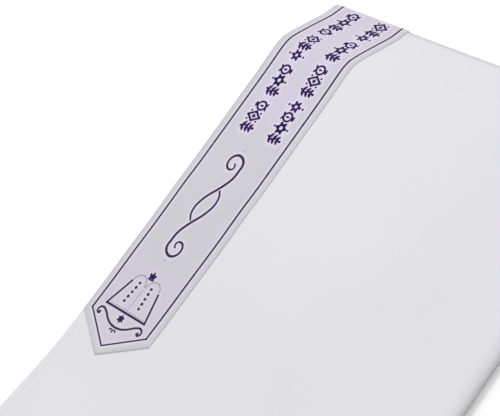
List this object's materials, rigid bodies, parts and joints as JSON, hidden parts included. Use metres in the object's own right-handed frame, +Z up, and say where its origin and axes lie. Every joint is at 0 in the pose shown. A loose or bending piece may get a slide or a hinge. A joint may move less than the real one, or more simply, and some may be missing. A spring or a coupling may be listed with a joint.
{
  "type": "folded tallit prayer shawl",
  "caption": "Plain white prayer shawl folded flat in a long pile, with a pale printed neck band over its fold end and knotted corner tassels.",
  "frame": {"origin": "on the table under the middle of the whole part, corner tassels included", "axes": "+X along the neck band towards the fold end, +Y towards the neck edge, +Z up"},
  "size_m": [1.1254, 0.4315, 0.0474],
  "materials": {
    "white_cloth": "smooth matt white wool cloth with a soft sheen",
    "inner_cloth": "the same white cloth, layers' edges",
    "lilac_band_cloth": "pale lilac-white band with dark purple printing",
    "white_cord": "off-white twisted wool cord"
  },
  "bodies": {
    "root": {"outer_cloth": "white_cloth", "folded_layers": "inner_cloth", "atarah_band": "lilac_band_cloth", "tassel_top_corner": "white_cord", "tassel_under_corner": "white_cord", "tassel_inner_upper": "white_cord", "tassel_inner_lower": "white_cord"}
  },
  "joints": []
}
